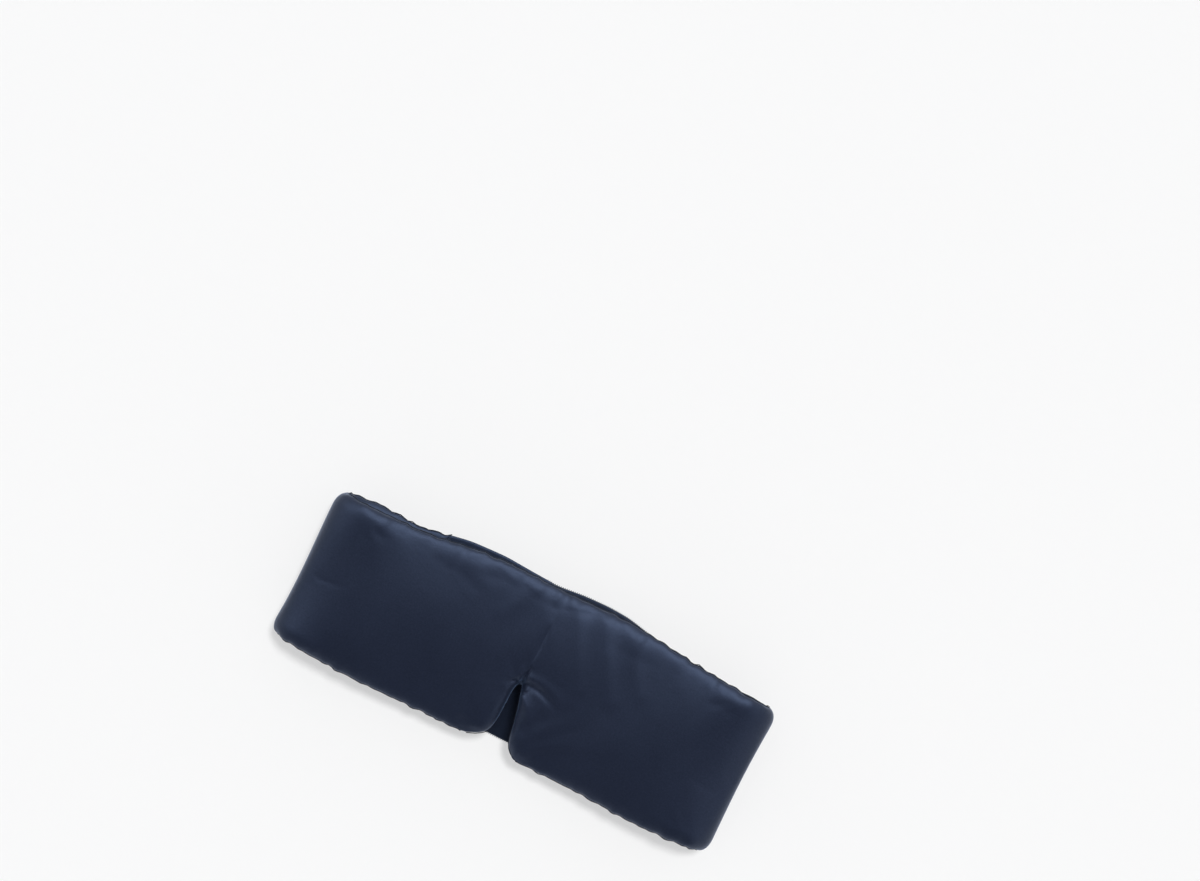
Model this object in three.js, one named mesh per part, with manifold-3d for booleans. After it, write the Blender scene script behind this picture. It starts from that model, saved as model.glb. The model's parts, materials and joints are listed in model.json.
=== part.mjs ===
// Padded wrap-around sleep mask, closed at the back and folded flat, lying face up.
// Millimetres. +X along the length, +Y towards the brow edge, +Z up out of the face side.
// The origin is at the bottom centre of the bounding box.

import * as THREE from 'three';
import { mergeVertices } from 'three/addons/utils/BufferGeometryUtils.js';
import Module from 'manifold-3d';

const wasm = await Module();
wasm.setup();

// ---- Driving dimensions -----------------------------------------------------------------

const LENGTH = 290;            // over both folds
const FOLD_THICKNESS = 10;     // padding where the band folds behind itself
const FOLD_STACK = 34;         // height of the folded band at its ends
const EYE_EXTRA = 3.5;         // extra half thickness of the padding over the eyes
const CROWN_RISE = 0.5;        // how much higher the padding over the eyes would stand than the ends
const SAG = 6;                 // how far the middle of the front hangs down between the folds
const SAG_REACH = 110;         // half the length that sags
const EYE_BLEND = 50;          // length over which the padding grows from fold to eye
const EDGE_ROUND = 16;         // distance over which the padding rounds down to a seam
const SEAM_HALF = 1.3;         // half thickness at a seam
const SKIN = 1.0;              // outer fabric with its backing
const GAP = 0.3;               // clearance between touching pieces
const FILL_GAP = 0.8;          // clearance between skin and filling
const BLACKOUT = 0.5;          // light-blocking interlining
const FILL_INSET = 4;          // filling stays this far inside the seams

const RIGHT_PAD_END = 62;      // where the right wing's padding ends and its strap begins
const LEFT_PAD_END = -74;      // where the left wing's padding ends and its loop panel begins
const TAB_HINGE = -12;         // peel line of the closure tab on the strap
const TAB_TIP = -70;
const TAB_CORNER = 14;         // corner radius of the closure tab
const STRAP = 1.5;             // doubled satin strap and tab
const TAPE = 0.9;              // hook tape and loop tape
const LOOP_PANEL_END = -4;     // free end of the loop panel
const TAPE_HALF_HEIGHT = 24;
const TAPE_MARGIN = 4;         // from the peel line or the tip to the tape
const STITCH_WIDTH = 1.0;
const SEAM_WIDTH = 2.4;        // sewn seam allowance inside the edge
const SEAM_THICKNESS = 0.8;
const SEAM_DEPTH = 2.2;        // centre line of the seam allowance, in from the edge
const OVERLOCK_WIDTH = 1.6;    // overlock thread along a strap edge

const HALF = FOLD_THICKNESS / 2;
const FOLD_X = LENGTH / 2 - HALF;          // fold axes lie on the middle of the padding
const FRONT_Z = FOLD_STACK - HALF;
const REAR_Z = HALF;

// Brow edge of the front, [x, y]: nearly level at the ends and bowed over the eyes.
const BROW_EDGE = [
  [-140, 41.5], [-127, 43.2], [-85, 44.2], [-57, 49.2], [-30, 50.8],
  [0, 50.2], [42, 52], [66, 49.7], [90, 47], [115, 46], [140, 42.6],
];

// Cheek edge of the front, [x, y], as if there were no nose slit.
const CHEEK_EDGE = [
  [-140, -46.6], [-127, -49.6], [-90, -51.4], [-60, -50.6], [-17, -50.2],
  [22, -51.6], [60, -50.8], [90, -52], [127, -50.6], [140, -47.4],
];

// Nose slit, [x, y], from the left lobe's round corner up to its top and down the right lobe.
const SLIT = [
  [-17, -50.4], [-8.5, -47.6], [-4.5, -45.6], [-2.2, -43.4], [-0.6, -38.5], [0.2, -33], [0.7, -24],
  [1.2, -9.1], [3.2, -9.1],
  [5, -17], [6.2, -21.5], [8, -30], [9.6, -38.3], [10.8, -43], [12.4, -45.7], [16.5, -49.9], [22, -51.8],
];
const SLIT_TOP = [1.2, 3.2];
const BINDING_WIDTH = 1.0;
const BINDING_DEPTH = 0.8;                 // centre line of the binding, in from the slit
const SLIT_FILL_GAP = 2.6;                 // filling stays this far from the slit
const BRIDGE = [-1.3, 5.6];                // sides of the filling over the nose bridge

// Edges of the flat rear pieces, [x, y], from the left fold to the right fold.
const REAR_BROW = [[-140, 41.5], [-90, 43.6], [-30, 49], [10, 50], [62, 48.4], [100, 45.4], [140, 42.6]];
const REAR_CHEEK = [[-140, -46.6], [-90, -49.4], [-12, -46.4], [30, -46.4], [90, -50], [140, -47.4]];

// Stations across the width, as distances in from each edge.
const EDGE_ROWS = [0, 1, 3.5, 8, EDGE_ROUND];

const COLOURS = {
  satin: 0x222a3e,
  lining: 0x1d2436,
  blackout: 0x101218,
  filling: 0xe4e2dc,
  thread: 0x2c3850,
  hook: 0x15181f,
  loop: 0x1b202c,
};

// ---- Outline and padding -----------------------------------------------------------------

function edgeAt(edge, x) {
  const last = edge.length - 1;
  if (x <= edge[0][0]) return edge[0][1];
  for (let i = 0; i < last; i += 1) {
    const [x0, y0] = edge[i];
    const [x1, y1] = edge[i + 1];
    if (x <= x1) return y0 + ((y1 - y0) * (x - x0)) / (x1 - x0);
  }
  return edge[last][1];
}

function distanceToEdge(edge, x, y) {
  let best = Infinity;
  for (let i = 0; i + 1 < edge.length; i += 1) {
    const [x0, y0] = edge[i];
    const [x1, y1] = edge[i + 1];
    const dx = x1 - x0;
    const dy = y1 - y0;
    const along = ((x - x0) * dx + (y - y0) * dy) / (dx * dx + dy * dy);
    const t = Math.min(1, Math.max(0, along));
    best = Math.min(best, Math.hypot(x - x0 - t * dx, y - y0 - t * dy));
  }
  return best;
}

// Half thickness of padding: a quarter ellipse rising from the seam to the full half height.
function pillow(full, distance) {
  const inner = 1 - Math.min(distance / EDGE_ROUND, 1);
  return SEAM_HALF + (full - SEAM_HALF) * Math.sqrt(1 - inner * inner);
}

// 0 at the folds, 1 over the eyes and the nose bridge.
function eyeShare(x) {
  return THREE.MathUtils.smoothstep(FOLD_X - Math.abs(x), 0, EYE_BLEND);
}

function frontMiddle(x) {
  const sag = SAG * THREE.MathUtils.smoothstep(SAG_REACH - Math.abs(x), 0, SAG_REACH);
  return FRONT_Z + (CROWN_RISE - EYE_EXTRA) * eyeShare(x) - sag;
}

function frontHalf(x, y) {
  const distance = Math.min(distanceToEdge(BROW_EDGE, x, y), distanceToEdge(CHEEK_EDGE, x, y));
  return pillow(HALF + EYE_EXTRA * eyeShare(x), distance);
}

// ---- The band's three kinds of stretch ---------------------------------------------------
// A point of the band is (s, y, w): s along it, y across it and w outwards from its middle.
// At a fold the inner half is cut back on the 45 degree line between the two stretches.

function mitre(w) {
  return GAP / 2 + Math.max(0, -w);
}

const front = {
  place: (s, y, w) => {
    const end = FOLD_X - mitre(w);
    const x = THREE.MathUtils.clamp(s, -end, end);
    return new THREE.Vector3(x, y, frontMiddle(x) + w);
  },
  half: frontHalf,
  brow: (s, inset) => edgeAt(BROW_EDGE, s) - inset,
  cheek: (s, inset) => edgeAt(CHEEK_EDGE, s) + inset,
};

function temple(side) {
  return {
    place: (s, y, w) => {
      const z = THREE.MathUtils.clamp(s, REAR_Z + mitre(w), FRONT_Z - mitre(w));
      return new THREE.Vector3(side * (FOLD_X + w), y, z);
    },
    half: (s, y) => {
      const x = side * FOLD_X;
      return pillow(HALF, Math.min(edgeAt(BROW_EDGE, x) - y, y - edgeAt(CHEEK_EDGE, x)));
    },
    brow: (s, inset) => edgeAt(BROW_EDGE, side * FOLD_X) - inset,
    cheek: (s, inset) => edgeAt(CHEEK_EDGE, side * FOLD_X) + inset,
  };
}

// The right wing tapers down to the floor, where its strap lies. The left wing tapers to its
// own middle, so that its loop panel lies over the closure tab.
function wing(side, padEnd, tapersDown) {
  const endDistance = (s) => Math.abs(s - padEnd);
  const middle = (s) => (tapersDown ? pillow(HALF, endDistance(s)) : REAR_Z);
  return {
    place: (s, y, w) => {
      const end = FOLD_X - mitre(w);
      const x = side * Math.min(side * s, end);
      return new THREE.Vector3(x, y, middle(x) - w);
    },
    half: (s, y) => {
      const toSeam = Math.min(edgeAt(REAR_BROW, s) - y, y - edgeAt(REAR_CHEEK, s));
      return Math.min(pillow(HALF, toSeam), pillow(HALF, endDistance(s)));
    },
    brow: (s, inset) => edgeAt(REAR_BROW, s) - inset,
    cheek: (s, inset) => edgeAt(REAR_CHEEK, s) + inset,
  };
}

// ---- Geometry builders -------------------------------------------------------------------

function facesOut(positions, index) {
  let volume = 0;
  const corner = (i) => new THREE.Vector3().fromArray(positions, 3 * i);
  for (let i = 0; i < index.length; i += 3) {
    const a = corner(index[i]);
    volume += a.dot(corner(index[i + 1]).cross(corner(index[i + 2])));
  }
  return volume > 0;
}

function solid(positions, index) {
  if (!facesOut(positions, index)) {
    index.reverse();
  }
  const geometry = new THREE.BufferGeometry();
  geometry.setAttribute('position', new THREE.Float32BufferAttribute(positions, 3));
  geometry.setIndex(index);
  geometry.computeVertexNormals();
  return geometry;
}

// A closed layer of the band between two offsets from its middle.
// stations are values of s; rows are distances in from each edge; inset narrows the layer.
function layer(stretch, stations, rows, inset, low, high) {
  const positions = [];
  const index = [];
  const across = [...rows.map((r) => [r, 0]), [0, 0.5], ...[...rows].reverse().map((r) => [r, 1])];
  const width = across.length;
  const yAt = (s, [row, from]) => {
    const bottom = stretch.cheek(s, inset);
    const top = stretch.brow(s, inset);
    if (from === 0.5) return (bottom + top) / 2;
    return from === 0 ? bottom + row : top - row;
  };
  for (const offset of [high, low]) {
    for (const s of stations) {
      for (const step of across) {
        const y = yAt(s, step);
        const point = stretch.place(s, y, offset(stretch.half(s, y)));
        positions.push(point.x, point.y, point.z);
      }
    }
  }
  const count = stations.length * width;
  const quad = (a, b, c, d) => index.push(a, b, c, a, c, d);
  for (let i = 0; i + 1 < stations.length; i += 1) {
    for (let j = 0; j + 1 < width; j += 1) {
      const a = i * width + j;
      quad(a, a + width, a + width + 1, a + 1);
      quad(count + a, count + a + 1, count + a + width + 1, count + a + width);
    }
  }
  for (let i = 0; i + 1 < stations.length; i += 1) {
    const a = i * width;
    const b = a + width - 1;
    quad(a, count + a, count + a + width, a + width);
    quad(b, b + width, count + b + width, count + b);
  }
  for (let j = 0; j + 1 < width; j += 1) {
    const b = count - width + j;
    quad(j, j + 1, count + j + 1, count + j);
    quad(b, count + b, count + b + 1, b + 1);
  }
  return solid(positions, index);
}

// A strip of rectangular section along a line of points, mitred at each of them.
// offset moves the line to its left; closed joins the last point to the first.
// thickness is one number, or one for each point.
function strip(points, offset, width, thickness, closed) {
  const positions = [];
  const index = [];
  const count = points.length;
  const direction = (i, j) => points[j].clone().sub(points[i]).setZ(0).normalize();
  points.forEach((point, i) => {
    const before = closed || i > 0 ? direction((i + count - 1) % count, i) : direction(i, i + 1);
    const after = closed || i < count - 1 ? direction(i, (i + 1) % count) : before;
    const along = before.clone().add(after).normalize();
    const left = new THREE.Vector3(-along.y, along.x, 0);
    const stretch = 1 / Math.max(0.35, along.dot(after));
    for (const [side, rise] of [[-1, -1], [1, -1], [1, 1], [-1, 1]]) {
      const corner = point.clone().addScaledVector(left, (offset + (side * width) / 2) * stretch);
      const high = Array.isArray(thickness) ? thickness[i] : thickness;
      positions.push(corner.x, corner.y, corner.z + (rise * high) / 2);
    }
  });
  const steps = closed ? count : count - 1;
  for (let i = 0; i < steps; i += 1) {
    const a = 4 * i;
    const b = 4 * ((i + 1) % count);
    for (let k = 0; k < 4; k += 1) {
      const n = (k + 1) % 4;
      index.push(a + k, b + k, b + n, a + k, b + n, a + n);
    }
  }
  if (!closed) {
    const z = 4 * (count - 1);
    index.push(0, 1, 2, 0, 2, 3, z, z + 2, z + 1, z, z + 3, z + 2);
  }
  return solid(positions, index);
}

// A flat sheet of fabric or tape from an outline, standing from z up by its thickness.
function flat(outline, z, thickness) {
  const geometry = new THREE.ExtrudeGeometry(new THREE.Shape(outline), {
    depth: thickness, bevelEnabled: false, curveSegments: 6,
  });
  return geometry.translate(0, 0, z);
}

function toManifold(geometry) {
  const bare = geometry.clone();
  bare.deleteAttribute('normal');
  bare.deleteAttribute('uv');
  const merged = mergeVertices(bare, 1e-4);
  const mesh = new wasm.Mesh({
    numProp: 3,
    vertProperties: new Float32Array(merged.attributes.position.array),
    triVerts: new Uint32Array(merged.index.array),
  });
  return new wasm.Manifold(mesh);
}

function fromManifold(manifold) {
  const mesh = manifold.getMesh();
  return solid(Array.from(mesh.vertProperties), Array.from(mesh.triVerts));
}

// Cuts the nose slit out of a layer, with a margin all round it.
function cutSlit(geometry, margin) {
  const below = -60;
  const ends = [SLIT[0][0], SLIT[SLIT.length - 1][0]];
  const outline = [[ends[0], below], ...SLIT, [ends[1], below]];
  const shape = new THREE.Shape(outline.map(([x, y]) => new THREE.Vector2(x, y)));
  const prism = new THREE.ExtrudeGeometry(shape, { depth: 2 * FOLD_STACK, bevelEnabled: false });
  const cutter = toManifold(prism.translate(0, 0, -FOLD_STACK / 2));
  let result = toManifold(geometry);
  const directions = margin > 0 ? 8 : 1;
  for (let k = 0; k < directions; k += 1) {
    const angle = (2 * Math.PI * k) / directions;
    const shift = [margin * Math.cos(angle), margin * Math.sin(angle), 0];
    result = result.subtract(cutter.translate(shift));
  }
  return fromManifold(result);
}

function rectangle(x0, x1, half) {
  return [[x0, -half], [x1, -half], [x1, half], [x0, half]].map(([x, y]) => new THREE.Vector2(x, y));
}

// Stations at the ends of a range and at every outline point within it, no further apart
// than the step.
function stationsIn(from, to, edge, step) {
  const inside = edge.map(([x]) => x).filter((x) => x > from + 1e-6 && x < to - 1e-6);
  const marks = [from, ...inside, to];
  const result = [];
  marks.slice(1).forEach((mark, i) => {
    const start = marks[i];
    const parts = Math.ceil((mark - start) / step);
    for (let k = 0; k < parts; k += 1) {
      result.push(start + ((mark - start) * k) / parts);
    }
  });
  result.push(to);
  return result;
}

// ---- Assembly ------------------------------------------------------------------------------

const mask = new THREE.Group();

function add(name, geometry, colour, roughness) {
  const material = new THREE.MeshStandardMaterial({ color: colour, roughness, metalness: 0 });
  const mesh = new THREE.Mesh(geometry, material);
  mesh.name = name;
  mask.add(mesh);
}

const innerFace = (half) => Math.max(GAP / 2, half - SKIN);
const fillFace = (half) => Math.max(0.4, half - SKIN - FILL_GAP);

// Outer cover and face-side lining of one stretch, each wrapping to the middle at the seams.
function addSkins(prefix, stretch, stations) {
  add(`${prefix}_cover`, layer(stretch, stations, EDGE_ROWS, 0, innerFace, (h) => h), COLOURS.satin, 0.45);
  add(
    `${prefix}_lining`,
    layer(stretch, stations, EDGE_ROWS, 0, (h) => -h, (h) => -innerFace(h)),
    COLOURS.lining,
    0.45,
  );
}

function addFilling(name, stretch, stations, floor) {
  const rows = [0, 4, 10];
  add(name, layer(stretch, stations, rows, FILL_INSET, floor, fillFace), COLOURS.filling, 0.95);
}

// Sewn seam allowance just inside an edge, at the middle of the padding.
function addSeam(name, points, side) {
  const geometry = strip(points, side * SEAM_DEPTH, SEAM_WIDTH, SEAM_THICKNESS, false);
  add(name, geometry, COLOURS.thread, 0.7);
}

function edgeLine(edge, from, to, step, middle) {
  return stationsIn(from, to, edge, step).map((x) => new THREE.Vector3(x, edgeAt(edge, x), middle(x)));
}

function addFront() {
  const bothEdges = [...CHEEK_EDGE, ...BROW_EDGE].sort(([a], [b]) => a - b);
  const marks = bothEdges.filter(([x], i) => i === 0 || x > bothEdges[i - 1][0]);
  const stations = stationsIn(-FOLD_X, FOLD_X, marks, 20);
  const cover = layer(front, stations, EDGE_ROWS, 0, innerFace, (h) => h);
  add('front_cover', cutSlit(cover, 0), COLOURS.satin, 0.45);
  const lining = layer(front, stations, EDGE_ROWS, 0, (h) => -h, (h) => -innerFace(h));
  add('front_lining', cutSlit(lining, 0), COLOURS.lining, 0.45);

  // Light-blocking layer on the face side of the filling.
  const rows = [0, 4, 12];
  const blackoutTop = (h) => -Math.max(0.4, h - SKIN - GAP - BLACKOUT);
  const blackoutBottom = (h) => blackoutTop(h) - BLACKOUT;
  const blackout = layer(front, stations, rows, FILL_INSET, blackoutBottom, blackoutTop);
  add('blackout_interlining', cutSlit(blackout, SLIT_FILL_GAP), COLOURS.blackout, 0.8);

  const floor = (h) => -Math.max(0.2, h - SKIN - GAP - BLACKOUT - FILL_GAP);
  const fillEnd = FOLD_X - 2;
  const [bridgeLeft, bridgeRight] = BRIDGE;
  const parts = [
    ['left_eye_filling', -fillEnd, bridgeLeft - GAP],
    ['bridge_filling', bridgeLeft, bridgeRight],
    ['right_eye_filling', bridgeRight + GAP, fillEnd],
  ];
  for (const [name, from, to] of parts) {
    const pad = layer(front, stationsIn(from, to, marks, 20), rows, FILL_INSET, floor, fillFace);
    add(name, cutSlit(pad, SLIT_FILL_GAP), COLOURS.filling, 0.95);
  }

  const seamEnd = FOLD_X - 3;
  const slitLeft = SLIT[0][0];
  const slitRight = SLIT[SLIT.length - 1][0];
  addSeam('brow_seam', edgeLine(BROW_EDGE, -seamEnd, seamEnd, 30, frontMiddle), -1);
  addSeam('left_cheek_seam', edgeLine(CHEEK_EDGE, -seamEnd, slitLeft - GAP, 30, frontMiddle), 1);
  addSeam('right_cheek_seam', edgeLine(CHEEK_EDGE, slitRight + GAP, seamEnd, 30, frontMiddle), 1);

  // The binding closes the sides of the slit between cover and lining.
  const line = SLIT.slice(1, -1).map(([x, y]) => new THREE.Vector3(x, y, frontMiddle(x)));
  const heights = line.map((p) => 2 * (frontHalf(p.x, p.y) - SKIN - FILL_GAP));
  const binding = strip(line, BINDING_DEPTH, BINDING_WIDTH, heights, false);
  add('nose_slit_binding', binding, COLOURS.thread, 0.7);

  // Bar tack that stops the top of the slit from tearing.
  const tackWidth = SLIT_TOP[1] - SLIT_TOP[0] - 2 * GAP;
  const tack = new THREE.BoxGeometry(tackWidth, 1.1, 2);
  const [, slitTopY] = SLIT[SLIT.findIndex(([x]) => x === SLIT_TOP[0])];
  const tackX = (SLIT_TOP[0] + SLIT_TOP[1]) / 2;
  tack.translate(tackX, slitTopY - 0.9, frontMiddle(tackX));
  add('nose_bar_tack', tack, COLOURS.thread, 0.7);
}

function addTemple(name, side) {
  const stretch = temple(side);
  const stations = [REAR_Z, (REAR_Z + FRONT_Z) / 2, FRONT_Z];
  addSkins(`${name}_temple`, stretch, stations);
  const inner = [REAR_Z + 1, (REAR_Z + FRONT_Z) / 2, FRONT_Z - 1];
  addFilling(`${name}_temple_filling`, stretch, inner, (h) => -fillFace(h));
  const seamHeight = FRONT_Z - REAR_Z - 2 * SEAM_HALF;
  for (const [edge, y] of [['brow', stretch.brow(0, SEAM_DEPTH)], ['cheek', stretch.cheek(0, SEAM_DEPTH)]]) {
    const seam = new THREE.BoxGeometry(SEAM_THICKNESS, SEAM_WIDTH, seamHeight);
    seam.translate(side * FOLD_X, y, (FRONT_Z + REAR_Z) / 2);
    add(`${name}_temple_${edge}_seam`, seam, COLOURS.thread, 0.7);
  }
}

function addWing(name, side, padEnd, tapersDown) {
  const stretch = wing(side, padEnd, tapersDown);
  const taper = [0, 1, 3.5, 8, EDGE_ROUND].map((d) => padEnd + side * d);
  const middle = (taper[taper.length - 1] + side * FOLD_X) / 2;
  const stations = [...taper, middle, side * FOLD_X];
  addSkins(`${name}_wing`, stretch, stations);
  const inner = [padEnd + side * FILL_INSET, padEnd + side * 10, middle, side * (FOLD_X - 2)];
  addFilling(`${name}_wing_filling`, stretch, inner, (h) => -fillFace(h));
  const level = (x) => stretch.place(x, 0, 0).z;
  const from = Math.min(padEnd + side * FILL_INSET, side * (FOLD_X - 3));
  const to = Math.max(padEnd + side * FILL_INSET, side * (FOLD_X - 3));
  addSeam(`${name}_wing_brow_seam`, edgeLine(REAR_BROW, from, to, 12, level), -1);
  addSeam(`${name}_wing_cheek_seam`, edgeLine(REAR_CHEEK, from, to, 12, level), 1);
}

function flatPiece(x0, x1, inset) {
  const brow = stationsIn(x0, x1, REAR_BROW, 100).map((x) => new THREE.Vector2(x, edgeAt(REAR_BROW, x) - inset));
  const cheek = stationsIn(x0, x1, REAR_CHEEK, 100).map((x) => new THREE.Vector2(x, edgeAt(REAR_CHEEK, x) + inset));
  return [...cheek, ...brow.reverse()];
}

// The flat strap of the right wing, with overlock thread along both of its edges.
function addStrap() {
  const from = TAB_HINGE + GAP / 2;
  const to = RIGHT_PAD_END - GAP;
  add('rear_strap', flat(flatPiece(from, to, OVERLOCK_WIDTH + GAP), 0, STRAP), COLOURS.satin, 0.45);
  const level = () => STRAP / 2;
  for (const [name, edge, side] of [['brow', REAR_BROW, -1], ['cheek', REAR_CHEEK, 1]]) {
    const line = edgeLine(edge, from, to, 100, level);
    const thread = strip(line, (side * OVERLOCK_WIDTH) / 2, OVERLOCK_WIDTH, STRAP, false);
    add(`strap_${name}_overlock`, thread, COLOURS.thread, 0.7);
  }
}

// The closure tab continues the strap and ends in rounded corners.
function addTab() {
  const hinge = TAB_HINGE - GAP / 2;
  const brow = edgeAt(REAR_BROW, TAB_HINGE);
  const cheek = edgeAt(REAR_CHEEK, TAB_HINGE);
  const shape = new THREE.Shape();
  shape.moveTo(hinge, cheek);
  shape.lineTo(hinge, brow);
  shape.lineTo(TAB_TIP + TAB_CORNER, brow);
  shape.quadraticCurveTo(TAB_TIP, brow, TAB_TIP, brow - TAB_CORNER);
  shape.lineTo(TAB_TIP, cheek + TAB_CORNER);
  shape.quadraticCurveTo(TAB_TIP, cheek, TAB_TIP + TAB_CORNER, cheek);
  shape.closePath();
  const body = new THREE.ExtrudeGeometry(shape, { depth: STRAP, bevelEnabled: false, curveSegments: 6 });
  add('closure_tab', body, COLOURS.satin, 0.45);
}

// A tape with its line of edge stitching round it.
function addTape(name, x0, x1, z, colour) {
  add(`${name}_tape`, flat(rectangle(x0, x1, TAPE_HALF_HEIGHT), z, TAPE), colour, 0.9);
  const grow = GAP + STITCH_WIDTH / 2;
  const corners = rectangle(x0 - grow, x1 + grow, TAPE_HALF_HEIGHT + grow);
  const line = corners.map((c) => new THREE.Vector3(c.x, c.y, z + TAPE / 2));
  add(`${name}_tape_stitching`, strip(line, 0, STITCH_WIDTH, TAPE - 0.2, true), COLOURS.thread, 0.7);
}

const HOOK_Z = STRAP + GAP;
const LOOP_Z = HOOK_Z + TAPE + GAP;
const PANEL_Z = LOOP_Z + TAPE + GAP;

addFront();
addTemple('left', -1);
addTemple('right', 1);
addWing('left', -1, LEFT_PAD_END, false);
addWing('right', 1, RIGHT_PAD_END, true);
addStrap();
addTab();
addTape('hook', TAB_TIP + TAPE_MARGIN, TAB_HINGE - TAPE_MARGIN, HOOK_Z, COLOURS.hook);
add('loop_panel', flat(flatPiece(LEFT_PAD_END + GAP, LOOP_PANEL_END, 0), PANEL_Z, STRAP), COLOURS.satin, 0.45);
addTape('loop', LEFT_PAD_END + TAPE_MARGIN, LOOP_PANEL_END - TAPE_MARGIN, LOOP_Z, COLOURS.loop);

export default mask;
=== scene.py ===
"""Folded navy satin sleep mask: fabric, seams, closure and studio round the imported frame."""
import json
import math

import bmesh
import bpy
import numpy as np
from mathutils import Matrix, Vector


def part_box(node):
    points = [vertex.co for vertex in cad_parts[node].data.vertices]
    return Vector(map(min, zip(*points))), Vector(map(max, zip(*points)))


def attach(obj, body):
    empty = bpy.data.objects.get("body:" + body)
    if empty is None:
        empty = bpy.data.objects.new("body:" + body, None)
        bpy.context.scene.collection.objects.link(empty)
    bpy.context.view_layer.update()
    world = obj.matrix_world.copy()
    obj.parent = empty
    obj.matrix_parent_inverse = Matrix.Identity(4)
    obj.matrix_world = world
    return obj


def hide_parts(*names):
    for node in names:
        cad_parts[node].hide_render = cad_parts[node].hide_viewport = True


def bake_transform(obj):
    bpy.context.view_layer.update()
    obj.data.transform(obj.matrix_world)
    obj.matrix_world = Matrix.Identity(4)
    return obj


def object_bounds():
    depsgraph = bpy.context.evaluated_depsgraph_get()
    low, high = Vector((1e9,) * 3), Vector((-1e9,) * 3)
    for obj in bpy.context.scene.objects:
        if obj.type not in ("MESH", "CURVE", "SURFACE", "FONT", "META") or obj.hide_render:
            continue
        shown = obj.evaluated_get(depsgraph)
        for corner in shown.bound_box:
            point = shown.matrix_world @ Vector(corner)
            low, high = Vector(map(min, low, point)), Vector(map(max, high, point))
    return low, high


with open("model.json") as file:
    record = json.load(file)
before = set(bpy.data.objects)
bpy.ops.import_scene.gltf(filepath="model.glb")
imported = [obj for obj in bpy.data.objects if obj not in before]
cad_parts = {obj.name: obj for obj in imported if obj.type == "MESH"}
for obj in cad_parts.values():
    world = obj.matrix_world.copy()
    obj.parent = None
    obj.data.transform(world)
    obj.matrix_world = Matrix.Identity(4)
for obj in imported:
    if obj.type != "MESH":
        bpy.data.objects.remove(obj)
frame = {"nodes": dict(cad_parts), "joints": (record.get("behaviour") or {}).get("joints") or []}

cad_low, cad_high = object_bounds()
MM = 0.001

# ---- Sizes from the frame, in millimetres -------------------------------------------------

JOINTS = {joint["name"]: joint for joint in frame["joints"]}
FOLD_X = JOINTS["right_front_fold"]["pos_m"][0] / MM
FRONT_Z = JOINTS["right_front_fold"]["pos_m"][2] / MM
REAR_Z = JOINTS["right_rear_fold"]["pos_m"][2] / MM
FOLD_HALF = cad_high.x / MM - FOLD_X
ARC_HEIGHT = (FRONT_Z - REAR_Z) / 2
ARC_LENGTH = 20.0                       # a fold is a half ellipse, this long by ARC_HEIGHT high
ARC_X = FOLD_X - ARC_LENGTH
ARC_Z = (FRONT_Z + REAR_Z) / 2
RIGHT_PAD_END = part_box("right_wing_cover")[0].x / MM
LEFT_PAD_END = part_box("left_wing_cover")[1].x / MM

# ---- Shape of the padded band -------------------------------------------------------------

EYE_BLEND = 50.0        # length over which the padding grows from fold to eye
EYE_EXTRA = 3.5         # extra half thickness over the eyes
CROWN_RISE = 0.5        # how much higher the eyes' padding would stand than the folds
SAG = 6.0               # how far the middle of the front hangs down
SAG_REACH = 110.0       # half the length that sags
EDGE_ROUND = 15.0       # rounding of the padding towards a seam
FOLD_ROUND = 8.5        # the same at the folds
SLIT_ROUND = 6.5        # rounding towards the nose slit
END_ROUND = 16.0        # rounding towards the end of a wing's padding
CROWN = 0.55            # how far the padding is crowned over its width, 0 flat to 1 an ellipse
SWELL = 0.4             # how far the starting shape stays inside its final surface
MIDDLE_SPLIT = 96.0     # where the front's rigid middle meets the pieces that bend at the folds
END_HOLLOW = 1.2        # how far the middle of a fold draws in between its corners
CORNER_PULL = 1.3       # how far the seam draws a fold's corners in
CORNER_REACH = 10.0     # how far from the seam that is felt
CROWN_BLEND = 24.0      # length over which the padding's profile changes from fold to eye
FOLD_SQUEEZE = 0.5      # how much narrower each side of the band is at the fold's end
LEAST_REAR_Z = 0.85     # lowest middle of the right wing, where it thins towards the strap
DRIFT_REACH = 20.0      # how far from a seam the padding's slow unevenness is at its full size
LEAST_RISE = 0.12       # a face keeps at least this share of a thin edge's half thickness
FAR = 1e3               # a distance that rounds nothing

BROW_EDGE = [
    (-140, 41.5), (-127, 43.2), (-85, 44.2), (-57, 49.2), (-30, 50.8),
    (0, 50.2), (42, 52), (66, 49.7), (90, 47), (115, 46), (140, 42.6),
]
CHEEK_EDGE = [
    (-140, -46.6), (-127, -49.6), (-90, -51.4), (-60, -50.6), (-17, -50.2),
    (22, -51.6), (60, -50.8), (90, -52), (127, -50.6), (140, -47.4),
]
REAR_BROW = [
    (-140, 41.2), (-131, 42.6), (-124, 45.6), (-110, 45.4), (-98, 44.6), (-86, 45.4), (-76, 48.2),
    (-62, 50.9), (-40, 52.2), (-24, 51.4), (-4, 50.6), (12, 52.6), (28, 53.4), (42, 52.8),
    (62, 48.8), (100, 45.4), (140, 42.6),
]
REAR_CHEEK = [(-140, -46.6), (-90, -49.4), (-12, -46.4), (30, -46.4), (90, -50), (140, -47.4)]

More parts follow.
